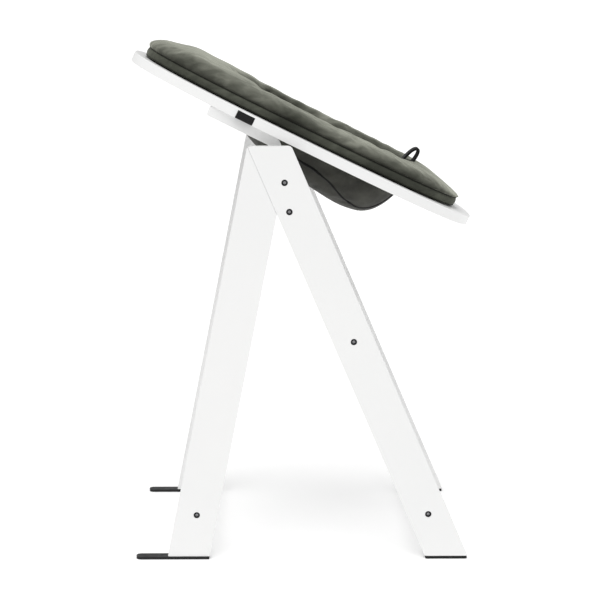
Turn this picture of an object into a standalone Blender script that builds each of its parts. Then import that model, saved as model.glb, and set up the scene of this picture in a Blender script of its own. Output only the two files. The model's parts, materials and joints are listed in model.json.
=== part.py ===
"""Newborn bouncer seat on a wooden A-frame stand.

World frame: +X towards the foot end, +Y towards the sitter's left, +Z up, metres.
The origin lies on the floor under the middle of the object.
The seat and its carrier are modelled in a tilted frame whose origin is the recline pivot:
u runs along the board towards the foot end, n is the board's normal.
"""
import math

import bmesh
import bpy

# ---- driving dimensions ---------------------------------------------------------------------

GAP = 0.0003                     # clearance between pieces that touch

BOARD = 0.018                    # thickness of every wooden board
STAND_HALF_WIDTH = 0.215         # to the outer face of a side
STAND_TOP = 0.743
LEG_WIDTH = 0.070                # front leg, across the grain
FRONT_SLOPE = 0.4315             # run over rise
REAR_SLOPE = 0.195
FORK_X = -0.0477                 # where the inner edges of the legs meet
FORK_Z = 0.624
FOOT_THICKNESS = 0.005
PLATE_LENGTH = 0.1313
PLATE_WIDTH = 0.020
PLATE_OVERHANG = 0.057           # how far the anti-tip plate sticks out behind the rear leg
PLATE_TIP = 0.0085               # corner radius of the plate's free end
FOOT_INSET = 0.001               # front foot pad, inside the leg's edges
LEG_CORNER = 0.0015
SHOULDER_CORNER = 0.009          # top outer corner of the front leg
EDGE_SOFTENING = 0.0012          # chamfer along the edges of legs and arms
BOARD_SOFTENING = 0.002          # chamfer round the seat board

PIVOT_X = -0.0347
PIVOT_Z = 0.680
STOP_X = -0.0262                 # stop rod
STOP_Z = 0.629
STOP_RADIUS = 0.006
FRONT_BAR_HEIGHTS = (0.398, 0.083)
REAR_BAR_HEIGHT = 0.082
BAR_RADIUS = 0.012

SEAT_TILT = math.radians(26)
RECLINE_FLAT = math.radians(16)      # travel towards lying
RECLINE_UPRIGHT = math.radians(8)    # travel towards sitting

ARM_TOP = 0.0607                 # n of the arm's upper edge
ARM_HEIGHT = 0.018
ARM_HEAD_U = -0.173
ARM_INNER = 0.150                # |y| of the arm's inner face
BUSH_RADIUS = 0.010
BOLT_RADIUS = 0.004
HEAD_RADIUS = 0.0055             # furniture bolt head
HEAD_DEPTH = 0.004
PIN_RADIUS = 0.003
PIN_RISE = 0.008
PIN_DEPTH = 0.0085
PIN_STATIONS = (-0.162, -0.070)
STRIKE_RADIUS = 0.0025
STRIKE_RISE = 0.0042             # above the arm's top, into the latch
TIE_U = -0.142
TIE_RADIUS = 0.005

DECK_BOTTOM = 0.061
DECK_TOP = DECK_BOTTOM + BOARD
DECK_HEAD_U = -0.338
DECK_FOOT_U = 0.347
DECK_HALF_WIDTH = 0.185
HEAD_POWER = 2.5                 # superellipse powers of the two ends
FOOT_POWER = 3.0
OPENING_HEAD_U = -0.128
OPENING_FOOT_U = 0.208
OPENING_HALF_WIDTH = 0.118
OPENING_POWER = 2.6

LATCH_U = -0.1095
LATCH_LENGTH = 0.033
LATCH_TOP = 0.0755
LATCH_OUTER = 0.1805
LATCH_DEPTH = 0.028
LATCH_WALL = 0.0035
BUTTON_PROUD = 0.001
BUTTON_TRAVEL = 0.003
BUTTON_DEPTH = 0.0095
BUTTON_FACE = 0.002              # thickness of the button in front of its spring bore

PAD_HEAD_U = -0.318
PAD_FOOT_U = 0.310
PAD_HALF_WIDTH = 0.163
PAD_BASE_BOTTOM = 0.0815
PAD_BASE_TOP = 0.0975
PAD_CREST = 0.120
HEAD_ROLL = 0.010
LINER_THICKNESS = 0.010
LINER_CLEARANCE = 0.001
POUCH_THICKNESS = 0.002
POUCH_FULLNESS = 6               # higher for a flatter bottom and steeper sides
POUCH_DEPTH = 0.050              # under the board, at u = 0
POUCH_DEPTH_SLOPE = 0.155        # extra depth per metre of u
FLANGE_WIDTH = 0.014             # of the pouch, lying on the board
FLANGE_THICKNESS = 0.0015
POUCH_CLEARANCE = 0.0012         # between the pouch and the opening's edge
HEAD_ROLL_U = -0.245
HEAD_ROLL_SPREAD = 0.060
LOOP_U = 0.1945
LOOP_BASE = 0.111
LOOP_RISE = 0.0345
LOOP_HALF_GAP = 0.0085
LOOP_LEAN = math.radians(12)
LOOP_THICKNESS = 0.003
LOOP_WIDTH = 0.025
RING_POINTS = 40

SIDES = (("right", -1), ("left", 1))     # the sitter's right side is at -Y


# ---- scene helpers --------------------------------------------------------------------------

for old in list(bpy.data.objects):
    bpy.data.objects.remove(old)

part_collection = bpy.data.collections.new("bouncer_seat")
cutter_collection = bpy.data.collections.new("cutters")
bpy.context.scene.collection.children.link(part_collection)
bpy.context.scene.collection.children.link(cutter_collection)


def material(name, color, roughness, metallic=0.0):
    made = bpy.data.materials.new(name)
    made.use_nodes = True
    shader = made.node_tree.nodes["Principled BSDF"]
    shader.inputs["Base Color"].default_value = (*color, 1.0)
    shader.inputs["Roughness"].default_value = roughness
    shader.inputs["Metallic"].default_value = metallic
    made.diffuse_color = (*color, 1.0)
    return made


LACQUER = material("white_lacquer", (0.86, 0.86, 0.84), 0.42)
DOWEL_WOOD = material("dowel_wood", (0.60, 0.44, 0.27), 0.7)
BLACK_STEEL = material("black_steel", (0.03, 0.03, 0.032), 0.45, 0.6)
ZINC = material("dark_zinc", (0.16, 0.16, 0.17), 0.35, 0.9)
BLACK_NYLON = material("black_nylon", (0.02, 0.02, 0.022), 0.5)
FOOT_RUBBER = material("foot_rubber", (0.03, 0.03, 0.03), 0.85)
SPRING_STEEL = material("spring_steel", (0.55, 0.55, 0.56), 0.3, 1.0)
VELVET = material("velvet", (0.17, 0.18, 0.14), 0.9)
POUCH_CLOTH = material("pouch_cloth", (0.05, 0.05, 0.042), 0.95)
WEBBING = material("webbing", (0.015, 0.015, 0.015), 0.85)

seat_frame = bpy.data.objects.new("recline_axis", None)
seat_frame.location = (PIVOT_X, 0, PIVOT_Z)
seat_frame.rotation_euler = (0, SEAT_TILT, 0)
part_collection.objects.link(seat_frame)


def place(name, mesh, finish, location=(0, 0, 0), rotation=(0, 0, 0), parent=None):
    """Put a mesh in the part as the node called name."""
    made = bpy.data.objects.new(name, mesh)
    made.location = location
    made.rotation_euler = rotation
    made.parent = parent
    mesh.materials.clear()
    mesh.materials.append(finish)
    part_collection.objects.link(made)
    return made


def place_cutter(name, mesh, location=(0, 0, 0), rotation=(0, 0, 0), parent=None):
    made = bpy.data.objects.new(name, mesh)
    made.location = location
    made.rotation_euler = rotation
    made.parent = parent
    made.hide_render = True
    made.display_type = 'WIRE'
    cutter_collection.objects.link(made)
    return made


def cut(target, cutter):
    boolean = target.modifiers.new("cut_" + cutter.name, 'BOOLEAN')
    boolean.operation = 'DIFFERENCE'
    boolean.solver = 'EXACT'
    boolean.object = cutter


SHARP_ANGLE = math.radians(50)


def add_bevel(target, width, segments=2):
    bevel = target.modifiers.new("edge_rounding", 'BEVEL')
    bevel.width = width
    bevel.segments = segments
    bevel.limit_method = 'ANGLE'
    bevel.angle_limit = SHARP_ANGLE


def smooth(mesh):
    mesh.shade_smooth()
    mesh.set_sharp_from_angle(angle=math.radians(40))


# ---- shape helpers --------------------------------------------------------------------------

UPRIGHT = (math.pi / 2, 0, 0)    # turns a mesh's own XY plane into XZ, and its Z axis into -Y


def rod_mesh(name, radius, length, segments=20):
    """A solid cylinder along its own Z axis, centred on its origin."""
    mesh = bpy.data.meshes.new(name)
    shape = bmesh.new()
    bmesh.ops.create_cone(shape, cap_ends=True, segments=segments,
                          radius1=radius, radius2=radius, depth=length)
    shape.to_mesh(mesh)
    shape.free()
    smooth(mesh)
    return mesh


def box_mesh(name, size_x, size_y, size_z):
    mesh = bpy.data.meshes.new(name)
    shape = bmesh.new()
    bmesh.ops.create_cube(shape, size=1.0)
    bmesh.ops.scale(shape, vec=(size_x, size_y, size_z), verts=shape.verts)
    shape.to_mesh(mesh)
    shape.free()
    return mesh


def sheet_mesh(name, outlines, thickness):
    """A flat board from closed outlines in its own XY plane; later outlines are openings."""
    curve = bpy.data.curves.new(name, 'CURVE')
    curve.dimensions = '2D'
    curve.fill_mode = 'BOTH'
    curve.extrude = thickness / 2
    for outline in outlines:
        spline = curve.splines.new('POLY')
        spline.points.add(len(outline) - 1)
        for point, (x, y) in zip(spline.points, outline):
            point.co = (x, y, 0, 1)
        spline.use_cyclic_u = True
    guide = bpy.data.objects.new(name, curve)
    bpy.context.scene.collection.objects.link(guide)
    graph = bpy.context.evaluated_depsgraph_get()
    mesh = bpy.data.meshes.new_from_object(guide.evaluated_get(graph))
    bpy.data.objects.remove(guide)
    shape = bmesh.new()
    shape.from_mesh(mesh)
    bmesh.ops.remove_doubles(shape, verts=shape.verts, dist=0.00001)
    bmesh.ops.recalc_face_normals(shape, faces=shape.faces)
    shape.to_mesh(mesh)
    shape.free()
    mesh.name = name
    return mesh


def round_corners(corners, steps=5):
    """Points of an outline whose corners (x, y, radius) are replaced by arcs."""
    points = []
    for index, (x, y, radius) in enumerate(corners):
        before = corners[index - 1]
        after = corners[(index + 1) % len(corners)]
        if radius == 0:
            points.append((x, y))
            continue
        in_x, in_y = before[0] - x, before[1] - y
        out_x, out_y = after[0] - x, after[1] - y
        in_length = math.hypot(in_x, in_y)
        out_length = math.hypot(out_x, out_y)
        in_x, in_y = in_x / in_length, in_y / in_length
        out_x, out_y = out_x / out_length, out_y / out_length
        half_angle = math.acos(in_x * out_x + in_y * out_y) / 2
        reach = radius / math.tan(half_angle)
        middle_x, middle_y = in_x + out_x, in_y + out_y
        middle_length = math.hypot(middle_x, middle_y)
        centre_distance = radius / math.sin(half_angle)
        centre_x = x + middle_x / middle_length * centre_distance
        centre_y = y + middle_y / middle_length * centre_distance
        start = math.atan2(y + in_y * reach - centre_y, x + in_x * reach - centre_x)
        end = math.atan2(y + out_y * reach - centre_y, x + out_x * reach - centre_x)
        sweep = (end - start + math.pi) % (2 * math.pi) - math.pi
        for step in range(steps + 1):
            angle = start + sweep * step / steps
            points.append((centre_x + radius * math.cos(angle),
                           centre_y + radius * math.sin(angle)))
    return points


def arc_points(radius, start, end, steps):
    return [(radius * math.cos(start + (end - start) * step / steps),
             radius * math.sin(start + (end - start) * step / steps))
            for step in range(steps + 1)]


def turned(name, profile, finish, segments=16, **placing):
    """A turned solid: the profile (radius, height) runs from the top to the bottom."""
    mesh = bpy.data.meshes.new(name)
    points = [(radius, 0, height) for radius, height in profile]
    edges = [(index, index + 1) for index in range(len(points) - 1)]
    mesh.from_pydata(points, edges, [])
    made = place(name, mesh, finish, **placing)
    screw = made.modifiers.new("turn", 'SCREW')
    screw.axis = 'Z'
    screw.steps = segments
    screw.render_steps = segments
    screw.use_merge_vertices = True
    screw.merge_threshold = 0.00001
    screw.use_smooth_shade = True
    return made


def tube(name, outer, inner, length, finish, segments=20, **placing):
    profile = [(inner, length / 2), (outer, length / 2), (outer, -length / 2),
               (inner, -length / 2), (inner, length / 2)]
    return turned(name, profile, finish, segments, **placing)


def loft(name, first_point, rings, last_point, finish, **placing):
    """A closed solid through rings of equal length, with a pole at each end."""
    mesh = bpy.data.meshes.new(name)
    shape = bmesh.new()
    rows = [[shape.verts.new(point) for point in ring] for ring in rings]
    first = shape.verts.new(first_point)
    last = shape.verts.new(last_point)
    count = len(rows[0])
    for index in range(count):
        after = (index + 1) % count
        shape.faces.new((first, rows[0][index], rows[0][after]))
        shape.faces.new((last, rows[-1][after], rows[-1][index]))
        for upper, lower in zip(rows, rows[1:]):
            shape.faces.new((upper[index], lower[index], lower[after], upper[after]))
    bmesh.ops.recalc_face_normals(shape, faces=shape.faces)
    shape.to_mesh(mesh)
    shape.free()
    smooth(mesh)
    return place(name, mesh, finish, **placing)


def loft_ring(name, rings, finish, **placing):
    """A closed ring-shaped solid whose section runs through the rings and back to the first."""
    mesh = bpy.data.meshes.new(name)
    shape = bmesh.new()
    rows = [[shape.verts.new(point) for point in ring] for ring in rings]
    count = len(rows[0])
    for index in range(count):
        after = (index + 1) % count
        for upper, lower in zip(rows, rows[1:] + rows[:1]):
            shape.faces.new((upper[index], lower[index], lower[after], upper[after]))
    bmesh.ops.recalc_face_normals(shape, faces=shape.faces)
    shape.to_mesh(mesh)
    shape.free()
    smooth(mesh)
    return place(name, mesh, finish, **placing)


def egg_point(angle, head_u, foot_u, half_width, head_power, foot_power):
    """A point of an oval whose two ends have their own superellipse power."""
    power = foot_power if math.cos(angle) > 0 else head_power
    along = math.copysign(abs(math.cos(angle)) ** (2 / power), math.cos(angle))
    across = math.copysign(abs(math.sin(angle)) ** (2 / power), math.sin(angle))
    return ((head_u + foot_u) / 2 + along * (foot_u - head_u) / 2, across * half_width)


def ring_angles(count):
    return [2 * math.pi * (index + 0.5) / count for index in range(count)]


def deck_point(angle):
    return egg_point(angle, DECK_HEAD_U, DECK_FOOT_U, DECK_HALF_WIDTH, HEAD_POWER, FOOT_POWER)


def pad_point(angle):
    return egg_point(angle, PAD_HEAD_U, PAD_FOOT_U, PAD_HALF_WIDTH, HEAD_POWER, FOOT_POWER)


def opening_point(angle, grow=0.0):
    return egg_point(angle, OPENING_HEAD_U - grow, OPENING_FOOT_U + grow,
                     OPENING_HALF_WIDTH + grow, OPENING_POWER, OPENING_POWER)


def opening_share(angle, share):
    """A point between the middle of the opening (0) and its edge (1)."""
    middle = (OPENING_HEAD_U + OPENING_FOOT_U) / 2
    u, y = opening_point(angle)
    return (middle + (u - middle) * share, y * share)


def pad_share(angle, share):
    """A point between the pad's outline (0) and the opening's edge (1)."""
    outer = pad_point(angle)
    inner = opening_point(angle)
    return (outer[0] + (inner[0] - outer[0]) * share, outer[1] + (inner[1] - outer[1]) * share)


# ---- stand ----------------------------------------------------------------------------------

SIDE_Y = STAND_HALF_WIDTH - BOARD / 2
SIDE_INNER = STAND_HALF_WIDTH - BOARD
LEG_BOTTOM = FOOT_THICKNESS + GAP
FRONT_RUN = LEG_WIDTH * math.sqrt(1 + FRONT_SLOPE ** 2)    # front leg's width along X
SEAM_TOP_X = FORK_X + FRONT_SLOPE * (FORK_Z - STAND_TOP)


def seam_x(height):
    """The front leg's inner edge, which is the glued seam above the fork."""
    return FORK_X + FRONT_SLOPE * (FORK_Z - height)


def rear_inner_x(height):
    return FORK_X - REAR_SLOPE * (FORK_Z - height)


def rear_outer_x(height):
    return SEAM_TOP_X - REAR_SLOPE * (STAND_TOP - height)


def make_hole(target, name, radius, x, z, y_from, y_to, segments=20, parent=None):
    mesh = rod_mesh(name, radius, abs(y_to - y_from), segments)
    hole = place_cutter(name, mesh, location=(x, (y_from + y_to) / 2, z),
                        rotation=UPRIGHT, parent=parent)
    cut(target, hole)


def bar_places():
    """Every bar: name, x, z, radius, and the leg that holds it."""
    upper, lower = FRONT_BAR_HEIGHTS
    return (
        ("stop_rod", STOP_X, STOP_Z, STOP_RADIUS, "front"),
        ("front_middle_bar", seam_x(upper) + FRONT_RUN / 2, upper, BAR_RADIUS, "front"),
        ("front_bottom_bar", seam_x(lower) + FRONT_RUN / 2, lower, BAR_RADIUS, "front"),
        ("rear_bottom_bar", (rear_inner_x(REAR_BAR_HEIGHT) + rear_outer_x(REAR_BAR_HEIGHT)) / 2,
         REAR_BAR_HEIGHT, BAR_RADIUS, "rear"),
    )


SHANK_RADIUS = 0.003
SHANK_REACH = 0.030              # how far a bar bolt goes into its bar
HEAD_SINK = 0.0005
HEX_RADIUS = 0.0029
HEX_DEPTH = 0.0025


def drill_for_bolt(target, name, side, x, z, shank_radius):
    """A through hole with a counterbore for the bolt's head."""
    outer = side * STAND_HALF_WIDTH
    spill = side * 0.002
    make_hole(target, name + "_hole", shank_radius + GAP, x, z,
              side * SIDE_INNER - spill, outer + spill)
    make_hole(target, name + "_counterbore", HEAD_RADIUS + GAP, x, z,
              outer - side * (HEAD_SINK + HEAD_DEPTH + GAP), outer + spill)


def make_bolt(name, side, x, z, shank_radius, shank_end):
    """A bolt with a flat round head and a hexagon socket, put in from the outside."""
    head_face = STAND_HALF_WIDTH - HEAD_SINK
    length = head_face - shank_end
    profile = [(0, 0), (HEAD_RADIUS - 0.0006, 0), (HEAD_RADIUS, -0.0006),
               (HEAD_RADIUS, -HEAD_DEPTH), (shank_radius, -HEAD_DEPTH),
               (shank_radius, -length + 0.0005), (shank_radius - 0.0005, -length), (0, -length)]
    turn = (-side * math.pi / 2, 0, 0)
    bolt = turned(name, profile, ZINC, location=(x, side * head_face, z), rotation=turn)
    socket = rod_mesh(name + "_socket", HEX_RADIUS, 2 * HEX_DEPTH, 6)
    cut(bolt, place_cutter(name + "_socket", socket, location=(x, side * head_face, z),
                           rotation=UPRIGHT))


SEAM_REACH = 4 * GAP             # corners this close to the seam line lie on it


def front_leg_outline():
    return round_corners([
        (seam_x(STAND_TOP), STAND_TOP, 0.003),
        (FORK_X, FORK_Z, 0),
        (seam_x(LEG_BOTTOM), LEG_BOTTOM, LEG_CORNER),
        (seam_x(LEG_BOTTOM) + FRONT_RUN, LEG_BOTTOM, LEG_CORNER),
        (seam_x(STAND_TOP) + FRONT_RUN, STAND_TOP, SHOULDER_CORNER),
    ])


def rear_leg_outline():
    seam_gap = GAP * math.sqrt(1 + FRONT_SLOPE ** 2)
    drop = 0.0022                # keeps the pointed top clear of the front leg's rounded corner
    top = STAND_TOP - drop
    return round_corners([
        (seam_x(top) - seam_gap, top, 0),
        (rear_outer_x(top) - 0.0004, top, 0),
        (rear_outer_x(LEG_BOTTOM), LEG_BOTTOM, LEG_CORNER),
        (rear_inner_x(LEG_BOTTOM), LEG_BOTTOM, LEG_CORNER),
        (FORK_X - seam_gap, FORK_Z, 0),
    ])


DOWEL_RADIUS = 0.004
DOWEL_HALF_LENGTH = 0.022
DOWEL_HEIGHTS = (FORK_Z + 0.018, FORK_Z + 0.048)


def join_legs(side_name, front_leg, rear_leg, y):
    """Two hidden dowels across the seam, each in a blind hole in both legs."""
    lean = math.atan(FRONT_SLOPE)
    for number, height in enumerate(DOWEL_HEIGHTS, start=1):
        name = "seam_dowel_%d_%s" % (number, side_name)
        spot = dict(location=(seam_x(height), y, height), rotation=(0, math.pi / 2 + lean, 0))
        hole = rod_mesh(name + "_hole", DOWEL_RADIUS + GAP, 2 * DOWEL_HALF_LENGTH + 0.002, 12)
        cutter = place_cutter(name + "_hole", hole, **spot)
        cut(front_leg, cutter)
        cut(rear_leg, cutter)
        dowel = rod_mesh(name, DOWEL_RADIUS, 2 * DOWEL_HALF_LENGTH, 12)
        place(name, dowel, DOWEL_WOOD, **spot)


PLATE_SCREW_RADIUS = 0.0018
PLATE_SCREW_HEAD = 0.0038
PLATE_SCREW_LENGTH = 0.022
PLATE_SCREW_SETBACK = (0.020, 0.050)     # from the leg's outer edge
SINK_MARGIN = 0.0016             # the countersink's rim outside the screw head
SINK_DEPTH = 0.0034
SINK_MIDDLE = 0.0012
SCREW_FACE = 0.0004              # the screw's face above the floor
SCREW_RIM = 0.0007
SCREW_NECK = 0.0029


def make_rear_plate(side_name, rear_leg, y):
    """The steel bar under the rear leg, with two countersunk screws up into the leg."""
    back = rear_outer_x(LEG_BOTTOM) - PLATE_OVERHANG
    half = PLATE_WIDTH / 2
    outline = round_corners([
        (back, -half, PLATE_TIP), (back + PLATE_LENGTH, -half, 0.001),
        (back + PLATE_LENGTH, half, 0.001), (back, half, PLATE_TIP),
    ])
    plate = place("anti_tip_plate_" + side_name,
                  sheet_mesh("anti_tip_plate_" + side_name, [outline], FOOT_THICKNESS),
                  BLACK_STEEL, location=(0, y, FOOT_THICKNESS / 2))
    for number, setback in enumerate(PLATE_SCREW_SETBACK, start=1):
        x = rear_outer_x(LEG_BOTTOM) + setback
        name = "plate_screw_%d_%s" % (number, side_name)
        hole = rod_mesh(name + "_hole", PLATE_SCREW_RADIUS + GAP, 2 * PLATE_SCREW_LENGTH + 0.002, 12)
        cutter = place_cutter(name + "_hole", hole, location=(x, y, 0))
        cut(plate, cutter)
        cut(rear_leg, cutter)
        sink = bpy.data.meshes.new(name + "_sink")
        shape = bmesh.new()
        bmesh.ops.create_cone(shape, cap_ends=True, segments=12, radius1=PLATE_SCREW_HEAD + SINK_MARGIN,
                              radius2=PLATE_SCREW_RADIUS + GAP, depth=SINK_DEPTH)
        shape.to_mesh(sink)
        shape.free()
        cut(plate, place_cutter(name + "_sink", sink, location=(x, y, SINK_MIDDLE)))
        profile = [(0, PLATE_SCREW_LENGTH), (PLATE_SCREW_RADIUS, PLATE_SCREW_LENGTH - 0.002),
                   (PLATE_SCREW_RADIUS, SCREW_NECK), (PLATE_SCREW_HEAD, SCREW_RIM),
                   (PLATE_SCREW_HEAD, SCREW_FACE), (0, SCREW_FACE)]
        turned(name, profile, ZINC, 12, location=(x, y, 0))


def make_front_foot(side_name, y):
    left = seam_x(LEG_BOTTOM) + FOOT_INSET
    right = left + FRONT_RUN - 2 * FOOT_INSET
    corner = 2 * FOOT_INSET
    outline = round_corners([
        (left, -BOARD / 2, corner), (right, -BOARD / 2, corner),
        (right, BOARD / 2, corner), (left, BOARD / 2, corner),
    ], steps=3)
    place("front_foot_pad_" + side_name,
          sheet_mesh("front_foot_pad_" + side_name, [outline], FOOT_THICKNESS),
          FOOT_RUBBER, location=(0, y, FOOT_THICKNESS / 2))


def soften_leg(leg):
    """Chamfers a leg's edges, but leaves those along the glued seam sharp."""
    shape = bmesh.new()
    shape.from_mesh(leg.data)
    weights = shape.edges.layers.float.new("bevel_weight_edge")
    for edge in shape.edges:
        on_seam = all(abs(vert.co.x - seam_x(vert.co.y)) < SEAM_REACH and vert.co.y > FORK_Z - GAP
                      for vert in edge.verts)
        if edge.calc_face_angle(0) > SHARP_ANGLE and not on_seam:
            edge[weights] = 1.0
    shape.to_mesh(leg.data)
    shape.free()
    add_bevel(leg, EDGE_SOFTENING, 1)
    leg.modifiers["edge_rounding"].limit_method = 'WEIGHT'


def make_side(side_name, side):
    y = side * SIDE_Y
    front_leg = place("front_leg_" + side_name,
                      sheet_mesh("front_leg_" + side_name, [front_leg_outline()], BOARD),
                      LACQUER, location=(0, y, 0), rotation=UPRIGHT)
    rear_leg = place("rear_leg_" + side_name,
                     sheet_mesh("rear_leg_" + side_name, [rear_leg_outline()], BOARD),
                     LACQUER, location=(0, y, 0), rotation=UPRIGHT)
    for leg in (front_leg, rear_leg):
        soften_leg(leg)
    legs = {"front": front_leg, "rear": rear_leg}
    for bar_name, x, z, _radius, leg_name in bar_places():
        bolt_name = "%s_bolt_%s" % (bar_name, side_name)
        drill_for_bolt(legs[leg_name], bolt_name, side, x, z, SHANK_RADIUS)
        make_bolt(bolt_name, side, x, z, SHANK_RADIUS, SIDE_INNER - SHANK_REACH)
    drill_for_bolt(front_leg, "pivot_bolt_" + side_name, side, PIVOT_X, PIVOT_Z, BOLT_RADIUS)
    join_legs(side_name, front_leg, rear_leg, y)
    make_rear_plate(side_name, rear_leg, y)
    make_front_foot(side_name, y)


def make_bars():
    length = 2 * (SIDE_INNER - GAP)
    for name, x, z, radius, _leg in bar_places():
        finish = ZINC if name == "stop_rod" else LACQUER
        bar = place(name, rod_mesh(name, radius, length, 20), finish,
                    location=(x, 0, z), rotation=UPRIGHT)
        for side_name, side in SIDES:
            inner_end = side * (SIDE_INNER - SHANK_REACH - 0.001)
            make_hole(bar, "%s_bore_%s" % (name, side_name), SHANK_RADIUS + GAP, x, z,
                      inner_end, side * (SIDE_INNER + 0.002), 16)


NUT_RADIUS = 0.0075
NUT_THICKNESS = 0.006


def make_pivots():
    """The recline pivots: bolt, spacer and nut on each side."""
    for side_name, side in SIDES:
        make_bolt("pivot_bolt_" + side_name, side, PIVOT_X, PIVOT_Z, BOLT_RADIUS,
                  ARM_INNER - NUT_THICKNESS - 0.004)
        arm_outer = ARM_INNER + BOARD
        middle = side * (arm_outer + SIDE_INNER) / 2
        tube("pivot_spacer_" + side_name, 0.011, BOLT_RADIUS + GAP,
             SIDE_INNER - arm_outer - 2 * GAP, BLACK_NYLON, 20,
             location=(PIVOT_X, middle, PIVOT_Z), rotation=UPRIGHT)
        nut_y = side * (ARM_INNER - GAP - NUT_THICKNESS / 2)
        nut = place("pivot_nut_" + side_name,
                    rod_mesh("pivot_nut_" + side_name, NUT_RADIUS, NUT_THICKNESS, 6), ZINC,
                    location=(PIVOT_X, nut_y, PIVOT_Z), rotation=UPRIGHT)
        make_hole(nut, "nut_bore_" + side_name, BOLT_RADIUS + GAP, PIVOT_X, PIVOT_Z,
                  nut_y - NUT_THICKNESS, nut_y + NUT_THICKNESS, 16)


# ---- recline carrier ------------------------------------------------------------------------

STOP_DISTANCE = math.hypot(STOP_X - PIVOT_X, STOP_Z - PIVOT_Z)
STOP_ANGLE = math.atan2(STOP_Z - PIVOT_Z, STOP_X - PIVOT_X) + SEAT_TILT
SLOT_HALF_WIDTH = STOP_RADIUS + GAP
SLOT_WALL = 0.0055


def slot_outline():
    """The arc slot round the stop rod, in the tilted frame."""
    slack = 0.0002 / STOP_DISTANCE
    low = STOP_ANGLE - RECLINE_FLAT - slack
    high = STOP_ANGLE + RECLINE_UPRIGHT + slack
    points = arc_points(STOP_DISTANCE + SLOT_HALF_WIDTH, low, high, 8)
    for angle, turn in ((high, 1), (low, -1)):
        end_u = STOP_DISTANCE * math.cos(angle)
        end_n = STOP_DISTANCE * math.sin(angle)
        base = angle if turn > 0 else angle + math.pi
        for step in range(1, 8):
            swing = base + math.pi * step / 8
            points.append((end_u + SLOT_HALF_WIDTH * math.cos(swing),
                           end_n + SLOT_HALF_WIDTH * math.sin(swing)))
        if turn > 0:
            points += arc_points(STOP_DISTANCE - SLOT_HALF_WIDTH, high, low, 8)
    return points


def arm_outline():
    """Bar under the board, rounded shoulder, stem down to the pivot and the slotted sector."""
    reach = STOP_DISTANCE + SLOT_HALF_WIDTH + SLOT_WALL
    end_margin = (SLOT_HALF_WIDTH + SLOT_WALL) / STOP_DISTANCE
    low = STOP_ANGLE - RECLINE_FLAT - end_margin
    high = STOP_ANGLE + RECLINE_UPRIGHT + end_margin
    arm_bottom = ARM_TOP - ARM_HEIGHT
    corners = [
        (ARM_HEAD_U, ARM_TOP, 0.004),
        (ARM_HEAD_U, arm_bottom, 0.005),
        (-0.049, arm_bottom, 0.010),
        (-0.022, -0.012, 0.012),
        (reach * math.cos(low), reach * math.sin(low), 0.008),
        (reach * math.cos((low + high) / 2) * 1.075, reach * math.sin((low + high) / 2) * 1.075, 0.040),
        (reach * math.cos(high), reach * math.sin(high), 0.008),
        (0.020, 0.006, 0.016),
        (-0.024, 0.020, 0.010),
        (-0.024, ARM_TOP, 0.026),
    ]
    return round_corners(corners, steps=6)


def make_pin(name, arm, radius, rise, u, y):
    """A plain pin pressed into the top of the arm, with a chamfered end."""
    hole = rod_mesh(name + "_seat", radius + GAP, 2 * (PIN_DEPTH + GAP), 12)
    cut(arm, place_cutter(name + "_seat", hole, location=(u, y, ARM_TOP), parent=seat_frame))
    chamfer = 0.001
    turned(name, [(0, rise), (radius - chamfer, rise), (radius, rise - chamfer),
                  (radius, -PIN_DEPTH), (0, -PIN_DEPTH)], ZINC, 12,
           location=(u, y, ARM_TOP), parent=seat_frame)


def make_arms():
    slot = sheet_mesh("slot_shape", [slot_outline()], BOARD * 2)
    for side_name, side in SIDES:
        y = side * (ARM_INNER + BOARD / 2)
        name = "support_arm_" + side_name
        arm = place(name, sheet_mesh(name, [arm_outline()], BOARD), LACQUER,
                    location=(0, y, 0), rotation=UPRIGHT, parent=seat_frame)
        add_bevel(arm, EDGE_SOFTENING, 1)
        cut(arm, place_cutter("slot_" + side_name, slot, location=(0, y, 0),
                              rotation=UPRIGHT, parent=seat_frame))
        make_hole(arm, "bush_seat_" + side_name, BUSH_RADIUS + GAP, 0, 0,
                  y - BOARD, y + BOARD, 20, parent=seat_frame)
        tube("pivot_bush_" + side_name, BUSH_RADIUS, BOLT_RADIUS + GAP, BOARD, BLACK_NYLON, 20,
             location=(0, y, 0), rotation=UPRIGHT, parent=seat_frame)
        tie_n = ARM_TOP - ARM_HEIGHT / 2
        make_hole(arm, "tie_seat_" + side_name, TIE_RADIUS + GAP, TIE_U, tie_n,
                  side * (ARM_INNER - 0.004), side * (ARM_INNER + 0.010), 16, parent=seat_frame)
        for number, station in enumerate(PIN_STATIONS, start=1):
            make_pin("locating_pin_%d_%s" % (number, side_name), arm, PIN_RADIUS, PIN_RISE,
                     station, y)
        make_pin("strike_pin_" + side_name, arm, STRIKE_RADIUS, STRIKE_RISE, LATCH_U, y)
    tie_length = 2 * (ARM_INNER + 0.0097)
    place("arm_tie_rod", rod_mesh("arm_tie_rod", TIE_RADIUS, tie_length, 16), ZINC,
          location=(TIE_U, 0, ARM_TOP - ARM_HEIGHT / 2), rotation=UPRIGHT, parent=seat_frame)


# ---- seat board and latches -----------------------------------------------------------------

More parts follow.
